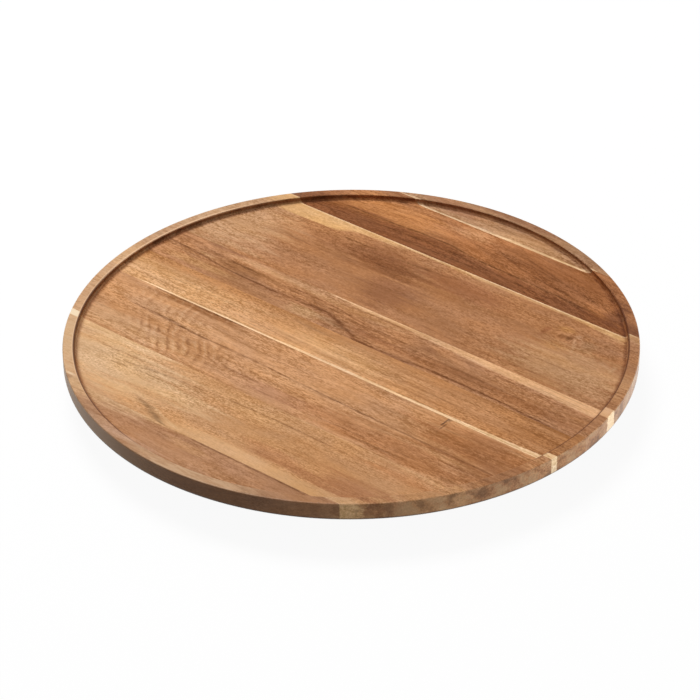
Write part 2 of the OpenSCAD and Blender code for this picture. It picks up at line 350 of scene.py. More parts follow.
def recess_wall():
    """Painted shade and a painted highlight at the wall of the tray.

    In order: painted shade in the corner of the floor, wider away from one side and climbing the cove
    towards another; painted shade up the wall, darker higher up; a painted shade line on the inner edge of
    the rim at the flanks; and a painted highlight line on that edge towards the lighter side.
    """
    tree, g, given, out = effect(
        "recess_wall",
        {"Place": "vector"},
        {"Creep": "value", "Scorch": "value", "Arris": "value", "Rubbed": "value"},
    )
    place = given["Place"]
    reach = g.flat_length(place)
    height = g.split(place)[2]
    rag = g.waver(place, (9.0, 9.0, 9.0), 1.6, detail=3.0)
    to_shade_side = g.towards(place, SHADE_SIDE)
    above_floor = g.ramp(height, RECESS_FLOOR - 1.0, RECESS_FLOOR - 0.2)
    inside = g.times(g.ramp(reach, RIM_INSIDE + 0.8, RIM_INSIDE + 1.1, 1.0, 0.0), above_floor)
    below_rim = g.ramp(height, RIM_TOP - 0.75, RIM_TOP - 0.35, 1.0, 0.0)

    # Painted shade in the corner of the floor, wider away from one side and climbing the cove towards
    # another
    ragged_reach = g.plus(reach, rag)
    narrow = g.ramp(ragged_reach, RIM_INSIDE - 2.6, RIM_INSIDE - 0.9)
    wide_shade = g.ramp(g.towards(place, NARROW_SHADE_SIDE), 120.0, 185.0, 1.0, 0.0)
    wide = g.times(g.ramp(ragged_reach, RIM_INSIDE - 5.0, RIM_INSIDE - 1.0), wide_shade)
    near_floor = g.ramp(height, RECESS_FLOOR + 0.4, RECESS_FLOOR + 1.6, 1.0, 0.0)
    up_the_cove = g.times(g.ramp(to_shade_side, -10.0, 50.0), below_rim)
    corner_shade = g.times(g.larger(narrow, wide), g.larger(near_floor, up_the_cove))
    g.feed(out["Creep"], g.times(inside, corner_shade))

    # Painted shade up the wall, darker higher up
    shade_up_wall = g.ramp(g.plus(height, g.times(rag, 0.4)), RECESS_FLOOR + 0.1, RECESS_FLOOR + 2.4)
    g.feed(out["Scorch"], g.times(g.times(inside, below_rim), shade_up_wall))

    # A painted shade line on the rim's inner edge at the flanks, and a painted highlight line on it towards
    # the lighter side
    on_ease = g.ramp(height, RIM_TOP - 1.4, RIM_TOP - 0.9)
    dark_ring = g.times(g.ramp(reach, RIM_INSIDE + 0.7, RIM_INSIDE + 1.4, 1.0, 0.0), on_ease)
    flanks = g.times(g.ramp(to_shade_side, -110.0, -40.0), g.ramp(to_shade_side, 140.0, 176.0, 1.0, 0.0))
    g.feed(out["Arris"], g.times(dark_ring, flanks))

    pale_ring = g.times(g.ramp(reach, RIM_INSIDE + 1.3, RIM_INSIDE + 2.0, 1.0, 0.0), on_ease)
    glint_side = g.ramp(g.towards(place, LIGHTER_SIDE), 130.0, 190.0)
    g.feed(out["Rubbed"], g.times(pale_ring, glint_side))
    return tree


def turned_edge():
    """Wax, painted light and painted shade on the outside of the top.

    Shine is wax on the side, thinner towards one end, and a little on the rim. The side is painted lighter
    towards that end, the rim is painted lighter there and on a second stretch and a little darker elsewhere,
    and the lower corner gets painted shade.
    """
    tree, g, given, out = effect(
        "turned_edge",
        {"Place": "vector"},
        {"Shine": "value", "Dry": "value", "Worn": "value", "Tanned": "value", "Grime": "value"},
    )
    place = given["Place"]
    reach = g.flat_length(place)
    height = g.split(place)[2]
    to_lighter_side = g.towards(place, LIGHTER_SIDE)
    outside = g.ramp(reach, TOP_RADIUS - 1.1 * OUTER_EASE, TOP_RADIUS - 0.5 * OUTER_EASE)
    on_rim = g.ramp(height, RIM_TOP - 0.6, RIM_TOP - 0.2)
    waxed = g.times(outside, g.ramp(to_lighter_side, 80.0, 185.0, 1.0, 0.55))
    g.feed(out["Shine"], g.larger(waxed, g.times(on_rim, 0.25)))
    # The side painted lighter towards the lighter end
    side_alone = g.times(outside, g.minus(1.0, on_rim))
    g.feed(out["Dry"], g.times(side_alone, g.ramp(to_lighter_side, 30.0, 150.0)))
    # The rim painted lighter on two stretches and a little darker elsewhere
    from_second_light = g.flat_length(g.vector("SUBTRACT", place, SECOND_LIGHT_STRETCH))
    rim_light_share = g.larger(g.ramp(to_lighter_side, 110.0, 215.0, 0.0, 0.72), g.ramp(from_second_light, 25.0, 85.0, 0.9, 0.0))
    g.feed(out["Worn"], g.times(on_rim, rim_light_share))
    g.feed(out["Tanned"], g.times(on_rim, g.minus(1.0, rim_light_share)))
    # Painted shade at the lower corner of the side
    lower = g.ramp(height, BOARD_UNDERSIDE + 1.2, BOARD_UNDERSIDE + 3.0, 1.0, 0.0)
    g.feed(out["Grime"], g.times(lower, g.ramp(reach, TOP_RADIUS - 3.5, TOP_RADIUS - 2.5)))
    return tree


def handling_marks():
    """Fine rubbed scratches and dull blotches, the same at every turn of the surface."""
    tree, g, given, out = effect(
        "handling_marks",
        {"Place": "vector", "Blotch": "value"},
        {"Dulling": "value", "Scratch": "value"},
    )
    size = given["Blotch"]
    g.feed(out["Dulling"], g.ramp(g.noise(given["Place"], g.join(size, size, size), detail=4.0), 0.3, 0.7))
    one_way = g.noise(given["Place"], (9.0, 0.25, 0.9), detail=1.0)
    other_way = g.noise(given["Place"], (0.25, 7.0, 0.9), detail=1.0)
    g.feed(out["Scratch"], g.ramp(g.larger(one_way, other_way), 0.64, 0.8))
    return tree


PLACE = place_in_millimetres()
GRAIN = wandering_grain()
RINGS = growth_rings()
PATCH = soft_patch()
CURL = curl_ripple()
KNOT = knot_swirl()
END_GRAIN = end_grain()
RECESS_WALL = recess_wall()
TURNED_EDGE = turned_edge()
MARKS = handling_marks()


def new_material(name):
    """A material with an empty Principled shader: its graph, the shader, and the place on the piece."""
    material = bpy.data.materials.new(name)
    material.use_nodes = True
    graph = Graph(material.node_tree)
    shader = material.node_tree.nodes["Principled BSDF"]
    return material, graph, shader, graph.use(PLACE)["Place"]


def add_relief(graph, shader, height, strength, depth):
    """Raises the surface by a map of heights, up to this depth in metres."""
    bump = graph.node("ShaderNodeBump")
    bump.inputs["Strength"].default_value = strength
    bump.inputs["Distance"].default_value = depth
    graph.feed(bump.inputs["Height"], height)
    graph.feed(shader.inputs["Normal"], bump.outputs["Normal"])


# Oiled wood, built up the way a board is read: heartwood first, then what grew in it, then grain and oil

class Board:
    """One wooden piece, whose colour is built up step by step and closed by oiled()."""

    GRAIN_DEEP = (0.70, 0.63, 0.51, 1.0)
    GRAIN_PALE = (1.30, 1.37, 1.49, 1.0)
    COOL = (1.0, 1.03, 1.13, 1.0)
    WARM = (1.05, 1.03, 1.0, 1.0)
    LIFE = (0.6, 1.4)
    OIL_ROUGHNESS = (0.46, 0.62)
    WAX_ROUGHNESS = 0.3
    WAX_IOR = 1.26
    OIL_GLOSS = 0.04
    FIBRE_RELIEF = 0.00006
    # Painted shade in the corner of the tray and up its wall
    CREPT_OIL = (0.46, 0.36, 0.31, 1.0)
    PAINTED_WALL_SHADE = (0.68, 0.56, 0.48, 1.0)
    PORE_SHADE = 0.18
    # Shares of painted shade on the rim and at the side's lower corner
    TAN_SHADE = 0.09
    GRIME_SHADE = 0.7
    CUT_STAINS = (("Mask", "a08468", 0.2), ("Pale", "cfb189", 0.4), ("Dark", "5f432c", 0.58))
    # Painted light on the rim
    WORN_RIM = ("d0ae8a", 0.72)
    BARE_END_STRENGTH = 1.3
    # Painted light on the side
    DRY_SIDE = ("cc9a62", 0.8)
    # A painted highlight and a painted shade line on the rim's inner edge
    RUBBED_LINE = ("eec6a0", 0.6)
    BURNT_ARRIS = ("55290f", 0.88)
    # Pale crests of the curly figure, partly a painted highlight
    CURL_CREST = "dab18a"

    def __init__(self, name, node):
        self.material, self.g, self.shader, self.place = new_material(name)
        self.flow = self.place
        low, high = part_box(node)
        self.near, self.far = low[1] * MM, high[1] * MM
        self.ripple = None
        self.sapwood_ends = 0.0
        self.bare_ends = []
        self.wall = self.g.use(RECESS_WALL, place=self.place)

    def bow(self, points):
        """Bends the grain lines sideways, by as much at each X as the points say."""
        g = self.g
        sideways = g.curve(g.split(self.flow)[0], points)
        self.flow = g.vector("SUBTRACT", self.flow, g.join(0.0, sideways, 0.0))

    def knot(self, centre, reach):
        """Bows the grain round a small knot; the knot itself is a spot."""
        self.flow = self.g.use(KNOT, place=self.flow, centre=(*centre, 0.0), reach=(*reach, 1.0))["Place"]

    def heartwood(
        self, colour, seed, sway=6.0, broad=0.3, streak=0.3, fleck=0.45, fibre=0.48, grit=0.36, hairline=0.2,
    ):
        """The plain colour under everything, and how strong each part of the grain is."""
        g = self.g
        self.hairline = hairline
        self.grain = g.use(GRAIN, place=self.flow, seed=seed, sway=sway)
        self.ragged = g.minus(self.grain["Streak"], 0.5)
        self.clouds = self.swing({"Broad": broad, "Streak": streak})
        speckle = self.swing({"Fleck": fleck, "Fibre": fibre, "Grit": grit})
        self.flecks = g.times(speckle, self.liveliness())
        self.colour = tint(colour)

    def swing(self, shares):
        """Sum of these parts of the grain, about zero."""
        g = self.g
        total = -sum(shares.values()) / 2
        for part, share in shares.items():
            total = g.plus(total, g.times(self.grain[part], share))
        return total

    def liveliness(self):
        """Calm and lively stretches of grain take turns along a board."""
        return self.g.between(self.grain["Life"], *self.LIFE)

    def cloud(self, centre, reach):
        """Mask of an oval that frays out along the grain."""
        return self.g.use(PATCH, place=self.place, centre=(*centre, 0.0), reach=(*reach, 1.0))["Mask"]

    def quieten(self, mask, share):
        """Makes the flecks fainter by this share where the mask is 1."""
        self.flecks = self.g.times(self.flecks, self.g.lessen(mask, share))

    def calm(self, centre, reach, strength):
        """An oval in which the flecks are fainter."""
        self.quieten(self.cloud(centre, reach), strength)

    def tone(self, colour, amount=1.0):
        """Multiplies the board's colour by another."""
        self.colour = self.g.blend(amount, self.colour, colour, "MULTIPLY")

    def darken(self, mask, share):
        """Takes this share of the light away where the mask is 1."""
        self.tone(self.g.grey(self.g.lessen(mask, share)))

    def stain(self, mask, colour, strength):
        """Covers with another colour, by this share where the mask is 1."""
        self.colour = self.g.blend(self.g.times(mask, strength), self.colour, tint(colour))

    def rings(self, seed, across, height, spacing, strength):
        """Late-wood lines about a pith that runs along X, at this place across and this height."""
        line = self.g.use(
            RINGS, place=self.flow, seed=seed, pith_across=across, pith_height=height, spacing=spacing,
        )["Line"]
        self.darken(line, strength)

    def patch(self, centre, reach, colour, strength=0.9):
        """A cloud of other colour, frayed along the grain."""
        self.stain(self.cloud(centre, reach), colour, strength)

    def away_from(self, centre, reach):
        """Distance from the centre of an oval, 1 at its edge."""
        g = self.g
        away = g.vector("DIVIDE", g.vector("SUBTRACT", self.place, (*centre, 0.0)), (*reach, 1.0))
        return g.flat_length(away)

    def spot(self, centre, reach, colour, strength):
        """A small soft oval with a plain edge."""
        g = self.g
        edge = g.plus(self.away_from(centre, reach), g.times(self.ragged, 0.5))
        self.stain(g.ramp(edge, 0.2, 1.1, 1.0, 0.0), colour, strength)

    def bare_end(self, centre, reach, colour):
        """The clean end of a pale streak on the rim, shown only where the rim is painted lighter."""
        mask = self.g.ramp(self.away_from(centre, reach), 0.85, 1.0, 1.0, 0.0)
        self.bare_ends.append((mask, colour))

    def edge_band(self, edge, widths, colour, blur=0.8, strength=0.95, plain=0.0, cut_colour=None):
        """A band along the far or near edge, as wide at each X as the points say: sapwood or a dark streak.

        Plain says how much fainter the flecks are in it. Sapwood is paler where the board is cut across, if
        a cut colour is given.
        """
        g = self.g
        x, y, _ = g.split(self.place)
        inwards = g.minus(self.far, y) if edge == "far" else g.minus(y, self.near)
        rag = g.times(self.ragged, blur * 1.6)
        left_over = g.minus(g.plus(g.curve(x, widths), rag), inwards)
        # The band fades where the wall gets painted shade
        band = g.times(g.ramp(left_over, -blur, blur), g.lessen(self.wall["Scorch"], 0.75))
        self.stain(band, colour, strength)
        if plain:
            self.quieten(band, plain)
        if cut_colour:
            cut = g.ramp(g.use(END_GRAIN, place=self.place)["Mask"], 0.0, 0.25)
            pale_end = g.times(band, cut)
            self.stain(pale_end, cut_colour, strength)
            self.sapwood_ends = g.larger(self.sapwood_ends, pale_end)

    def vein(self, path, width, colour, strength, fade=14.0, breaks=0.45):
        """A dark or pale line along a path of (x, y) points, broken up by the flecks."""
        g = self.g
        x, y, _ = g.split(self.place)
        rag = g.times(self.ragged, width * 0.5)
        away = g.math("ABSOLUTE", g.plus(g.minus(y, g.curve(x, path)), rag))
        start, end = path[0][0], path[-1][0]
        inside = g.times(g.ramp(x, start, start + fade), g.ramp(x, end - fade, end, 1.0, 0.0))
        core = g.times(g.ramp(away, 0.0, width, 1.0, 0.0), inside)
        broken = g.ramp(self.grain["Fleck"], 0.1, 0.9, 1.0, 1.0 - breaks)
        self.stain(g.times(core, broken), colour, strength)

    def curl(self, centre, reach, spacing, slant, colour, strength):
        """Slanting ripples of curly figure in an oval zone: dark troughs of this colour and pale crests,
        partly painted shade and painted highlight.
        """
        g = self.g
        ripple = g.use(CURL, place=self.place, spacing=spacing, slant=slant)
        zone = self.cloud(centre, reach)
        trough = g.times(ripple["Trough"], zone)
        self.ripple = g.plus(self.ripple, trough) if self.ripple else trough
        self.stain(trough, colour, strength)
        self.stain(g.times(ripple["Crest"], zone), self.CURL_CREST, strength * 0.5)

    def figured(self):
        """Lays clouds, flecks, warmth, hairlines and pores over every colour."""
        g = self.g
        lightness = g.plus(g.plus(self.clouds, self.flecks), 0.5)
        self.tone(g.blend(lightness, self.GRAIN_DEEP, self.GRAIN_PALE))
        self.tone(g.blend(self.grain["Warmth"], self.COOL, self.WARM))
        self.darken(self.grain["Hairline"], self.hairline)
        self.darken(self.grain["Pore"], self.PORE_SHADE)

    def marked(self, edge):
        """Adds end-grain stains, the pale streak ends, and painted light and shade on the rim, the outer
        edge and at the recess wall.
        """
        g = self.g
        cut = g.use(END_GRAIN, place=self.place)
        thirsty = g.lessen(self.sapwood_ends, 0.9)
        for part, colour, strength in self.CUT_STAINS:
            self.stain(g.times(cut[part], thirsty), colour, strength)
        # Painted light on the rim, the pale streak ends shown only there, and painted shade on the rest of
        # the rim
        uneven = g.ramp(self.grain["Fleck"], 0.0, 1.0, 0.55, 1.1)
        self.stain(g.times(edge["Worn"], uneven), *self.WORN_RIM)
        for mask, colour in self.bare_ends:
            self.stain(g.times(mask, edge["Worn"]), colour, self.BARE_END_STRENGTH)
        self.darken(edge["Tanned"], self.TAN_SHADE)
        # Painted light on the side
        self.stain(edge["Dry"], *self.DRY_SIDE)
        # Painted shade at the side's lower corner
        self.darken(edge["Grime"], self.GRIME_SHADE)
        # Painted shade in the tray's corner and up its wall
        self.tone(self.CREPT_OIL, self.wall["Creep"])
        self.tone(self.PAINTED_WALL_SHADE, self.wall["Scorch"])
        # A painted highlight and a painted shade line on the rim's inner edge
        self.stain(self.wall["Rubbed"], *self.RUBBED_LINE)
        self.stain(self.wall["Arris"], *self.BURNT_ARRIS)

    def oiled(self):
        """Closes the board: figure over every colour, marks of making, painted light and shade, and a satin
        oil finish.
        """
        g = self.g
        grain = self.grain
        finish = self.shader.inputs
        edge = g.use(TURNED_EDGE, place=self.place)
        self.figured()
        self.marked(edge)
        g.feed(finish["Base Color"], self.colour)
        dry = g.plus(g.times(grain["Fibre"], 0.6), g.times(grain["Pore"], 0.4))
        g.feed(finish["Roughness"], g.between(dry, *self.OIL_ROUGHNESS))
        relief = g.minus(grain["Fibre"], g.times(grain["Pore"], 0.8))
        if self.ripple:
            relief = g.minus(relief, g.times(self.ripple, 1.5))
        add_relief(g, self.shader, relief, 0.5, self.FIBRE_RELIEF)
        finish["Specular IOR Level"].default_value = self.OIL_GLOSS
        g.feed(finish["Coat Weight"], edge["Shine"])
        finish["Coat Roughness"].default_value = self.WAX_ROUGHNESS
        finish["Coat IOR"].default_value = self.WAX_IOR
        return self.material


# The eight boards of the top, from the far edge of the photograph to the near edge

# On several boards the patches make the left end paler and the right end darker: partly the wood's own tone,
# partly painted sheen and painted shade.
def top_board_1(board):
    """Far edge: plain brown, with sapwood along its near seam."""
    board.heartwood("b3855e", seed=1.0, sway=7.0, fleck=0.5, fibre=0.56, grit=0.48)
    board.rings(1.0, across=150.0, height=-60.0, spacing=6.0, strength=0.12)
    board.patch((-70, 212), (40, 8), "ad7b58")
    board.patch((88, 206), (26, 8), "9a6c48", 0.7)
    board.patch((20, 207), (48, 6), "c2946a", 0.65)
    board.patch((-5, 225), (90, 6), "9a6a48")
    board.edge_band(
        "near", [(-120, -2), (-90, 2.2), (-20, 2), (20, 3.2), (80, 2.6), (105, -2)], "ebc497", plain=0.5,
    )
    return board.oiled()


def top_board_2(board):
    """The darkest board: its grain bends towards the near seam on the right."""
    board.bow([(-180, -9), (-110, -3), (-45, 3), (20, -2), (90, -14), (180, -34)])
    board.heartwood("ab7045", seed=2.0, sway=6.0, streak=0.5, fleck=0.6, fibre=0.66, grit=0.56)
    board.rings(2.0, across=185.0, height=-30.0, spacing=5.0, strength=0.14)
    board.patch((-95, 178), (70, 26), "ba7d4b")
    board.patch((75, 178), (80, 26), "8c5732")
    board.patch((-22, 190), (24, 10), "bd865a")
    board.edge_band(
        "near",
        [(-165, 17), (-120, 22), (-50, 24), (0, 20), (60, 17), (120, 14), (190, 10)],
        "7f4c2b",
        blur=5.0,
    )
    board.vein(
        [(-140, 161), (-90, 161.5), (-40, 164), (0, 159), (60, 156.5), (140, 152)], 1.8, "55300f", 0.65,
    )
    board.vein([(-130, 153), (-80, 153.5), (-30, 155), (20, 151), (90, 147)], 1.6, "55300f", 0.6)
    board.vein([(-70, 145), (-10, 147), (50, 143.5), (120, 141)], 1.4, "55300f", 0.5)
    board.vein([(0, 186), (20, 178), (50, 169), (90, 162), (145, 155)], 1.8, "5f3416", 0.55)
    board.vein([(25, 190), (60, 180), (100, 170), (150, 158)], 1.8, "5f3416", 0.5)
    board.vein([(-112, 175.5), (-95, 175), (-78, 174.5)], 1.3, "7a4a1c", 0.5)
    board.spot((-114, 196), (32, 9), "94623f", 0.6)
    board.patch((146, 158), (13, 17), "6c4029", 0.65)
    return board.oiled()


def top_board_3(board):
    """The widest board: a dark cloud left of the middle, sapwood at the far seam and a knot at the right."""
    board.knot((134, 108), (17.0, 10.0))
    board.heartwood(
        "aa754c", seed=3.0, sway=10.0, streak=0.06, fleck=0.36, fibre=0.44, grit=0.56, hairline=0.07,
    )
    board.calm((0, 82), (130, 50), 0.25)
    board.rings(3.0, across=40.0, height=-70.0, spacing=8.0, strength=0.045)
    board.patch((-195, 80), (65, 62), "bf9167")
    board.patch((160, 72), (70, 32), "bf8f63")
    board.patch((30, 114), (55, 14), "9a6340", 0.7)
    board.patch((-95, 108), (42, 12), "976440", 0.75)
    board.patch((-48, 105), (52, 19), "84512e")
    board.patch((-22, 72), (36, 25), "8d5d3e", 0.8)
    board.patch((0, 119), (45, 9), "95603c", 0.7)
    board.patch((-60, 120), (38, 9), "8f5b38", 0.6)
    board.edge_band(
        "far",
        [
            (-205, 18), (-150, 17.5), (-122, 15), (-105, 9), (-85, 5.5), (-60, 3.5), (-30, 1.5),
            (115, 1.2), (140, 3), (160, 6), (190, 9),
        ],
        "dcab72",
        blur=3.2,
        strength=0.88,
        plain=0.5,
    )
    board.edge_band("far", [(-205, 1.2), (0, 1.3), (205, 1.8)], "e8bf90", blur=0.6, strength=0.8)
    board.patch((181, 133), (9, 8), "b5825a", 0.75)
    board.vein([(-152, 117.5), (-140, 117), (-126, 117)], 1.4, "70421f", 0.5, fade=8.0)
    board.vein([(-114, 119), (-95, 118.5), (-68, 119)], 2.1, "6a3d1c", 0.65)
    board.vein([(-50, 118.5), (-20, 120.5), (10, 123)], 2.3, "643918", 0.65)
    board.vein([(-62, 101.5), (-48, 102), (-34, 102.5)], 1.9, "643918", 0.55, fade=8.0)
    board.vein([(-150, 93), (-110, 91), (-60, 92)], 1.6, "7a4b2a", 0.45)
    board.vein([(100, 73), (140, 71), (185, 75)], 1.5, "845430", 0.5)
    board.vein([(20, 52), (80, 50), (150, 53)], 1.5, "7d4d2b", 0.5)
    board.patch((166, 112), (22, 10), "95694a", 0.3)
    board.patch((152, 108), (12, 10), "a17853", 0.55)
    board.patch((130, 93), (14, 7), "bd8650", 0.55)
    board.patch((125, 119), (8, 6), "c08a52", 0.5)
    board.spot((129.5, 109), (7, 3.6), "85532e", 0.5)
    board.spot((134.5, 110.8), (4.6, 3.8), "683b17", 0.7)
    board.spot((139.5, 116.5), (5, 3.6), "c69b78", 0.4)
    board.spot((142.8, 117.4), (2.2, 2.2), "85552f", 0.55)
    board.spot((164.5, 118.5), (3.2, 3.2), "84542e", 0.55)
    board.spot((187, 95), (3.0, 4.5), "c89d72", 0.4)
    board.spot((112, 108), (3.5, 10), "8a5232", 0.6)
    board.vein(
        [(136, 114), (141, 106.5), (144.5, 100.5), (148.5, 91)],
        6.0,
        "c59970",
        0.45,
        fade=3.0,
        breaks=0.3,
    )
    board.vein(
        [(153, 107), (162, 100), (167, 95.5), (173, 92)], 4.2, "c2966c", 0.36, fade=6.0, breaks=0.4,
    )
    board.vein([(161, 103), (168, 99.5), (180, 96)], 2.6, "8a5a34", 0.32, fade=5.0, breaks=0.3)
    board.vein([(170, 99), (180, 94), (192, 88)], 3.6, "c5996e", 0.36, fade=6.0, breaks=0.4)
    board.vein([(146, 87), (153, 90.5), (160, 93.5)], 2.4, "c69868", 0.4, fade=5.0, breaks=0.3)
    board.vein([(116, 98), (130, 95), (150, 86), (176, 82)], 2.6, "a87a52", 0.45, fade=8.0)
    return board.oiled()


def top_board_4(board):
    """A wavy dark vein runs down to the near seam, and sapwood widens to the right."""
    board.heartwood("b27d54", seed=4.0, sway=5.0, fleck=0.52, fibre=0.58, grit=0.5)
    board.rings(4.0, across=60.0, height=-40.0, spacing=4.5, strength=0.12)
    board.patch((-90, 37), (85, 6), "c69468")
    board.patch((-5, 34), (42, 5), "c08d60", 0.7)
    board.patch((-120, 8), (75, 10), "a06e46")
    board.patch((-172, 10), (40, 6), "b98a5c", 0.6)
    board.patch((115, 11), (135, 10), "9c6740")
    board.patch((115, 9), (45, 5), "b47d52", 0.5)
    board.patch((8, 10), (26, 6), "9c6842", 0.6)
    board.patch((-57, 8), (21, 8), "ba8b5d")
    board.patch((-145, 26), (40, 9), "99683f", 0.65)
    board.vein([(-188, 41), (-165, 41.6), (-142, 40.6)], 3.6, "87583a", 0.7, fade=10.0, breaks=0.4)
    board.vein([(-216, 36.6), (-201, 36.4), (-186, 35.8)], 2.2, "7c4f2e", 0.75, fade=7.0, breaks=0.3)
    board.vein([(-190, 32.6), (-176, 31.8), (-162, 31)], 2.3, "744828", 0.75, fade=7.0)
    board.vein([(-172, 30.6), (-148, 29.2), (-116, 26.6)], 3.0, "764a2c", 0.72, fade=12.0, breaks=0.6)
    board.vein([(-164, 24.6), (-142, 22.6), (-114, 20)], 3.0, "764a2c", 0.74, fade=12.0, breaks=0.6)
    board.vein([(-186, 25.6), (-175, 24.6), (-164, 23.4)], 2.0, "d3a678", 0.55, fade=6.0)
    board.vein(
        [(-226, 25.4), (-196, 23.6), (-177, 21.9), (-143, 17.9), (-118, 16.7), (-83, 15.7)],
        1.8,
        "6b4023",
        0.8,
        breaks=0.3,
    )
    board.patch((2, 14), (34, 6), "a06a45", 0.55)
    board.vein(
        [(0, 3.5), (20, 1), (43, 1.2), (80, 4), (120, 4), (166, 1.7), (226, -0.6)],
        2.2,
        "6e3f20",
        0.85,
        breaks=0.25,
    )
    board.vein([(-50, 21), (-5, 16), (60, 13), (150, 11.5)], 1.5, "8a5a36", 0.5)
    board.vein([(-70, 25), (0, 21.5), (80, 18), (224, 16.5)], 1.7, "7f4f2d", 0.55)
    board.vein(
        [(-92, 30.4), (-60, 30), (-43, 29.4), (-24, 26.5), (-4, 24), (45, 21.5)], 1.7, "7a4a28", 0.7,
    )
    board.vein([(-100, 27), (-60, 26.6), (-36, 24.5), (-10, 20.5), (20, 18)], 1.6, "80502c", 0.6)
    board.vein([(-80, 33), (-50, 32.6), (-25, 31)], 1.6, "d0a277", 0.5)
    board.vein([(70, 31), (140, 30), (224, 28)], 1.4, "825231", 0.45)
    board.patch((-26, 10), (22, 6), "97704e", 0.55)
    wavy_vein = [(-56, 19), (-45, 19), (-34, 17), (-24, 13.2), (-13, 9.2), (-3, 4.2), (6, 1)]
    board.vein(
        [(-135, 17.2), (-100, 16.3), (-77, 17.6), *wavy_vein, (24, 1)], 5.0, "7e4d2b", 0.8, breaks=0.2,
    )
    board.vein([(-66, 18.4), *wavy_vein, (18, 1)], 2.6, "653819", 0.55, breaks=0.1)
    board.spot((58, 27), (12, 4), "8c5b38", 0.65)
    board.spot((-29, 3), (9, 3.5), "8f5f3c", 0.65)
    board.edge_band(
        "far",
        [
            (-70, -2), (-50, 0.8), (-35, 2.2), (0, 3.8), (50, 5.4),
            (75, 6.6), (105, 8.4), (150, 9.8), (225, 11.5),
        ],
        "deac7e",
        blur=1.0,
        plain=0.6,
        cut_colour="fbdcb0",
    )
    board.edge_band(
        "far", [(-70, -1), (-45, 1.4), (30, 1.8), (70, 0.5), (100, -1)], "e8bd90", blur=0.6, strength=0.5,
    )
    return board.oiled()


def top_board_5(board):
    """Pale and plain, with a thin line of sapwood at the near seam."""
    board.heartwood("c6905f", seed=5.0, sway=4.0, streak=0.55, fleck=0.42, fibre=0.7, grit=0.46)
    board.calm((20, -20), (120, 40), 0.45)
    board.rings(5.0, across=-10.0, height=-90.0, spacing=5.0, strength=0.07)
    board.patch((-185, -22), (110, 45), "cf9d6c")
    board.patch((170, -20), (130, 45), "b77f50")
    board.patch((218, -14), (62, 30), "a06a3e", 0.8)
    board.patch((-150, -6), (85, 9), "b58254", 0.85)
    board.patch((0, -23), (62, 13), "d8a470", 0.75)
    board.curl((-135, -22), (46, 22), 10.5, 0.2, "a87a50", 0.35)
    board.edge_band(
        "far", [(-220, 9), (-60, 5), (0, 5), (60, 8), (220, 10)], "ab7446", blur=5.0, strength=0.65,
    )
    board.edge_band(
        "near",
        [(-205, -1), (-172, 1.5), (0, 2.2), (150, 3.4), (225, 5.6)],
        "f5cc9d",
        blur=0.5,
        plain=0.65,
        cut_colour="fbdcb0",
    )
    return board.oiled()


def top_board_6(board):
    """Curly figure at the left, a long dark vein, and a short dark check at the right."""
    board.heartwood("c28d60", seed=6.0, sway=5.0, fleck=0.46, fibre=0.58)
    board.rings(6.0, across=-70.0, height=-60.0, spacing=5.0, strength=0.07)
    board.patch((-130, -62), (70, 9), "cb9a6f", 0.7)
    board.patch((-150, -98), (75, 14), "cc9d72", 0.8)
    board.patch((-172, -97), (38, 11), "bc8c5e", 0.6)
    board.patch((175, -58), (80, 24), "a86f44")
    board.patch((110, -96), (100, 18), "b0774b")
    board.patch((208, -84), (58, 30), "98633c", 0.7)
    board.patch((0, -98), (48, 9), "b5805a", 0.7)
    board.patch((0, -76), (48, 6), "cd9b70", 0.6)
    board.patch((-122, -43), (48, 5), "9a663d", 0.8)
    board.curl((-140, -55), (58, 20), 9.5, 0.3, "9a6a44", 0.5)
    board.curl((-106, -90), (62, 27), 10.0, 0.6, "875733", 0.66)
    board.vein([(-175, -40), (-140, -39.8), (-72, -39.6)], 1.9, "643a1a", 0.75)
    board.vein(
        [(-184, -68), (-130, -69.5), (-105, -71.5), (-60, -71.5), (0, -73), (100, -75.5), (220, -78)],
        1.6,
        "6e4325",
        0.65,
    )
    board.vein([(-158, -68.5), (-130, -69.5), (-105, -71)], 2.4, "5f3719", 0.5)
    board.vein([(-90, -93), (-50, -93), (0, -95)], 1.3, "84532e", 0.5)
    board.spot((129, -45), (1.2, 10), "4b3326", 0.85)
    board.spot((131.5, -50), (1.0, 8), "5a3c28", 0.7)
    board.spot((130, -41), (3.5, 3), "84684f", 0.6)
    return board.oiled()


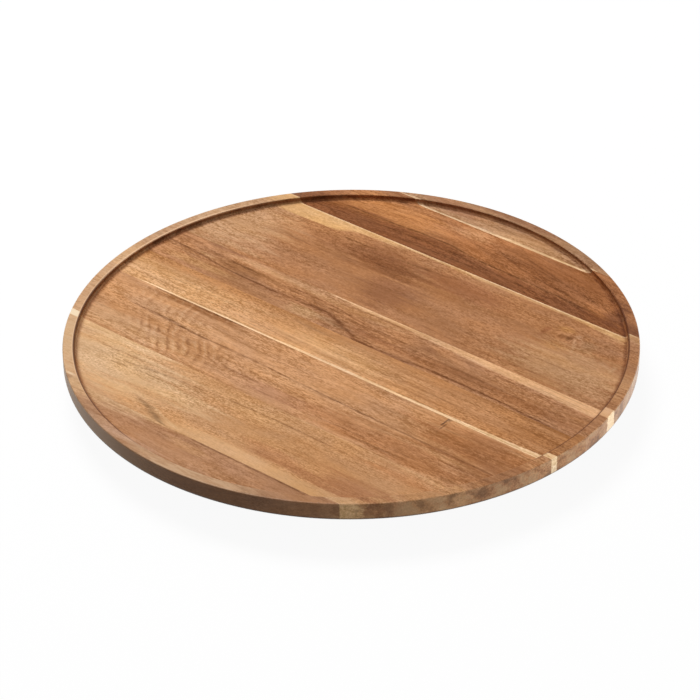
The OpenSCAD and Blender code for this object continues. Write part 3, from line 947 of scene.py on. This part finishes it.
def top_board_7(board):
    """The palest board: a slanting streak starts the sapwood at the near seam."""
    board.bow([(-200, -8), (-100, -3), (0, 3), (100, 4), (200, 2)])
    board.heartwood(
        "c69364", seed=7.0, sway=8.0, streak=0.06, fleck=0.36, fibre=0.46, grit=0.5, hairline=0.08,
    )
    board.calm((70, -148), (110, 45), 0.3)
    board.calm((-125, -165), (60, 22), 0.55)
    board.calm((-172, -128), (48, 26), 0.5)
    board.calm((40, -176), (120, 12), 0.6)
    board.rings(7.0, across=-190.0, height=-50.0, spacing=7.0, strength=0.045)
    board.patch((-138, -143), (105, 40), "d2a87a")
    board.patch((125, -140), (105, 44), "b88456", 0.75)
    board.patch((130, -160), (45, 18), "a8724a")
    board.patch((62, -160), (45, 10), "b67f55", 0.8)
    board.patch((100, -166), (60, 8), "a36e47", 0.65)
    board.patch((-45, -146), (42, 14), "dab083", 0.7)
    board.patch((0, -126), (50, 10), "d0a071", 0.6)
    board.patch((150, -122), (50, 8), "b87d4e", 0.7)
    board.edge_band(
        "far",
        [(-205, 9), (-192, 9), (-182, 7), (-140, 6), (-95, 2), (-70, -2)],
        "e2ba8d",
        blur=2.6,
        strength=0.7,
        plain=0.4,
    )
    board.vein([(-128, -137), (-80, -131), (-32, -128)], 2.1, "83572f", 0.55, breaks=0.7)
    board.vein([(-40, -127), (30, -124), (105, -124)], 1.5, "875833", 0.5)
    board.vein([(-160, -129), (-130, -128), (-100, -127)], 1.5, "83572f", 0.5, breaks=0.7)
    board.vein([(-140, -143), (-100, -139), (-60, -138)], 1.5, "946a40", 0.45, breaks=0.7)
    board.edge_band(
        "near",
        [(-60, -3), (-40, 3), (-15, 9), (20, 12), (80, 12), (140, 9)],
        "d4a474",
        blur=3.0,
        strength=0.85,
        plain=0.3,
        cut_colour="ffd096",
    )
    streak_start = [(-80, -165.8), (-72, -168), (-57, -173), (-42, -179.5), (-30, -186)]
    board.vein(streak_start, 5.8, "967350", 0.6, fade=8.0, breaks=0.25)
    board.vein(streak_start[1:], 3.2, "7a5a3a", 0.45, fade=7.0, breaks=0.2)
    board.vein([(-64, -167), (-48, -172.5), (-31, -177.5), (-15, -181)], 2.4, "dfb88c", 0.55)
    board.vein([(-80, -171.5), (-70, -175), (-60, -179)], 2.2, "d2a67c", 0.4, fade=6.0)
    board.bare_end((-196, -114), (30, 4.3), "f4dcba")
    board.spot((-135, -180.5), (9, 2), "f0d2aa", 0.8)
    return board.oiled()


def top_board_8(board):
    """Near edge: quiet brown, with a pale cloud at the far seam."""
    board.heartwood(
        "ac7b55", seed=8.0, sway=6.0, streak=0.2, fleck=0.27, fibre=0.32, grit=0.28, hairline=0.06,
    )
    board.rings(8.0, across=-150.0, height=-50.0, spacing=5.0, strength=0.05)
    board.patch((0, -193), (24, 6), "b98659")
    board.patch((-85, -190), (25, 8), "ae7e56")
    board.patch((-70, -217), (75, 9), "c99d7c", 0.85)
    board.patch((5, -207), (70, 7), "c0906a", 0.4)
    board.edge_band(
        "far",
        [(-160, -6), (-134, -6), (-126, 12), (-85, 8), (-50, 2.5), (-25, -3)],
        "cfa376",
        blur=5.0,
        strength=0.9,
    )
    board.vein([(-10, -182.8), (50, -183.2), (112, -183.4)], 1.4, "6a4024", 0.65)
    return board.oiled()


def base_stave(board, seed):
    """Plain brown wood of the same kind."""
    board.heartwood("a8774d", seed=seed, sway=6.0)
    board.rings(seed, across=20.0, height=-50.0, spacing=5.0, strength=0.14)
    return board.oiled()


# Metal and rubber under the top

def plated_metal(name, colour, dull_colour, roughness, blotch, relief):
    """Bright plating with dull blotches and rubbed scratches."""
    material, g, shader, place = new_material(name)
    marks = g.use(MARKS, place=place, blotch=blotch)
    dulled = g.blend(marks["Dulling"], tint(colour), tint(dull_colour))
    g.feed(shader.inputs["Base Color"], g.blend(marks["Scratch"], dulled, tint(colour)))
    dull = g.minus(marks["Dulling"], g.times(marks["Scratch"], 0.5))
    g.feed(shader.inputs["Roughness"], g.between(dull, *roughness))
    shader.inputs["Metallic"].default_value = 1.0
    add_relief(g, shader, marks["Dulling"], 0.35, relief)
    return material


def foot_rubber():
    """Matt black rubber with a moulded grain and a little dust."""
    material, g, shader, place = new_material("foot_rubber")
    grain = g.noise(place, (0.5, 0.5, 0.5), detail=2.0)
    dust = g.ramp(g.noise(place, (6.0, 6.0, 6.0), detail=4.0), 0.5, 0.75)
    g.feed(shader.inputs["Base Color"], g.blend(dust, tint("232323"), tint("3b3a38")))
    g.feed(shader.inputs["Roughness"], g.ramp(grain, 0.3, 0.7, 0.7, 0.88))
    add_relief(g, shader, grain, 0.4, 0.0001)
    return material


def dress(node, material):
    """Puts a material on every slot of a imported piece."""
    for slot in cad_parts[node].material_slots:
        slot.material = material


def dress_all():
    """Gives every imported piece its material."""
    makers = (
        top_board_1, top_board_2, top_board_3, top_board_4,
        top_board_5, top_board_6, top_board_7, top_board_8,
    )
    for maker in makers:
        node = maker.__name__
        dress(node, maker(Board(f"{node}_acacia", node)))
    for number in (1, 2, 3):
        node = f"base_board_{number}"
        dress(node, base_stave(Board(f"{node}_acacia", node), seed=10.0 + number))
    zinc = plated_metal("zinc_plate", "c9cdd0", "9fa4a8", (0.22, 0.42), 7.0, 0.00002)
    screws = plated_metal("zinc_screw", "b4b3ab", "85847d", (0.28, 0.5), 1.5, 0.00003)
    washers = plated_metal("zinc_washer", "bfc1c3", "95989a", (0.28, 0.46), 2.0, 0.00002)
    balls = plated_metal("polished_ball", "dcdee0", "c2c5c8", (0.06, 0.14), 1.2, 0.000002)
    for node, material in (
        ("upper_bearing_plate", zinc),
        ("lower_bearing_plate", zinc),
        ("bearing_balls", balls),
        ("upper_plate_screws", screws),
        ("lower_plate_screws", screws),
        ("foot_screws", screws),
        ("foot_washers", washers),
    ):
        dress(node, material)
    rubber = foot_rubber()
    for number in (1, 2, 3, 4):
        dress(f"rubber_foot_{number}", rubber)


# Studio

def direction(azimuth, elevation):
    """From the object outwards; azimuth 0 is -Y and turns towards +X."""
    a, e = math.radians(azimuth), math.radians(elevation)
    return Vector((math.cos(e) * math.sin(a), -math.cos(e) * math.cos(a), math.sin(e)))


def photo_camera():
    """The photograph's viewpoint: distance, angle, aim and lens fitted to the rim's outline."""
    distance, azimuth, elevation, roll = 2.3802, 39.5, 32.9148, -0.3338
    aim = Vector((0.00362, -0.00592, 0.03045))
    data = bpy.data.cameras.new("photo_camera")
    data.sensor_width = 36.0
    data.lens = 154.286
    camera = bpy.data.objects.new("photo_camera", data)
    camera.location = Vector((0.0, 0.0, RIM_HEIGHT)) + distance * direction(azimuth, elevation)
    look = (aim - camera.location).to_track_quat("-Z", "Y")
    camera.rotation_mode = "QUATERNION"
    camera.rotation_quaternion = look @ Matrix.Rotation(math.radians(roll), 3, "Z").to_quaternion()
    bpy.context.scene.collection.objects.link(camera)
    bpy.context.scene.camera = camera


def soft_lamp(name, azimuth, elevation, distance, size, power, height=None):
    """An area lamp that faces the origin: round, or a strip if a height is given."""
    data = bpy.data.lights.new(name, "AREA")
    data.shape = "RECTANGLE" if height else "DISK"
    data.size = size
    if height:
        data.size_y = height
    data.energy = power
    lamp = bpy.data.objects.new(name, data)
    lamp.location = distance * direction(azimuth, elevation)
    lamp.rotation_euler = (-lamp.location).to_track_quat("-Z", "Y").to_euler()
    bpy.context.scene.collection.objects.link(lamp)


def shown_ray(graph):
    """1 for what the camera sees directly, in a reflection or through glass."""
    rays = graph.node("ShaderNodeLightPath").outputs
    mirrored = graph.larger(rays["Is Glossy Ray"], rays["Is Transmission Ray"])
    return graph.larger(rays["Is Camera Ray"], mirrored)


def studio_world(ambient):
    """White where it is seen, and dim as a source of light."""
    world = bpy.data.worlds.new("studio")
    world.use_nodes = True
    bpy.context.scene.world = world
    graph = Graph(world.node_tree)
    background = world.node_tree.nodes["Background"]
    background.inputs["Color"].default_value = (1.0, 1.0, 1.0, 1.0)
    graph.feed(background.inputs["Strength"], graph.between(shown_ray(graph), ambient, 1.0))


def white_floor(half_side, bounce, glow):
    """A white sweep that keeps a soft shadow, sends back only a little light, and is clear from below."""
    mesh = bpy.data.meshes.new("floor")
    shape = bmesh.new()
    bmesh.ops.create_grid(shape, x_segments=1, y_segments=1, size=half_side)
    shape.to_mesh(mesh)
    shape.free()
    floor = bpy.data.objects.new("floor", mesh)
    bpy.context.scene.collection.objects.link(floor)
    material = bpy.data.materials.new("white_sweep")
    material.use_nodes = True
    g = Graph(material.node_tree)
    shader = material.node_tree.nodes["Principled BSDF"]
    seen = shown_ray(g)
    g.feed(shader.inputs["Base Color"], g.grey(g.between(seen, bounce, 1.0 - glow)))
    shader.inputs["Roughness"].default_value = 1.0
    shader.inputs["Specular IOR Level"].default_value = 0.0
    shader.inputs["Emission Color"].default_value = (1.0, 1.0, 1.0, 1.0)
    g.feed(shader.inputs["Emission Strength"], g.times(seen, glow))
    from_below = g.node("ShaderNodeNewGeometry").outputs["Backfacing"]
    pane = g.node("ShaderNodeMixShader")
    g.feed(pane.inputs[0], from_below)
    g.feed(pane.inputs[1], shader.outputs[0])
    g.feed(pane.inputs[2], g.node("ShaderNodeBsdfTransparent").outputs[0])
    g.feed(material.node_tree.nodes["Material Output"].inputs["Surface"], pane.outputs[0])
    mesh.materials.append(material)


dress_all()
photo_camera()
soft_lamp("overhead_softbox", azimuth=248.0, elevation=66.0, distance=2.6, size=1.3, power=63.5)
soft_lamp("low_side_strip", azimuth=108.0, elevation=1.2, distance=1.2, size=1.0, power=9.2, height=0.03)
studio_world(ambient=0.18)
white_floor(half_side=4.0, bounce=0.13, glow=0.94)

bpy.context.scene.view_settings.view_transform = "Standard"
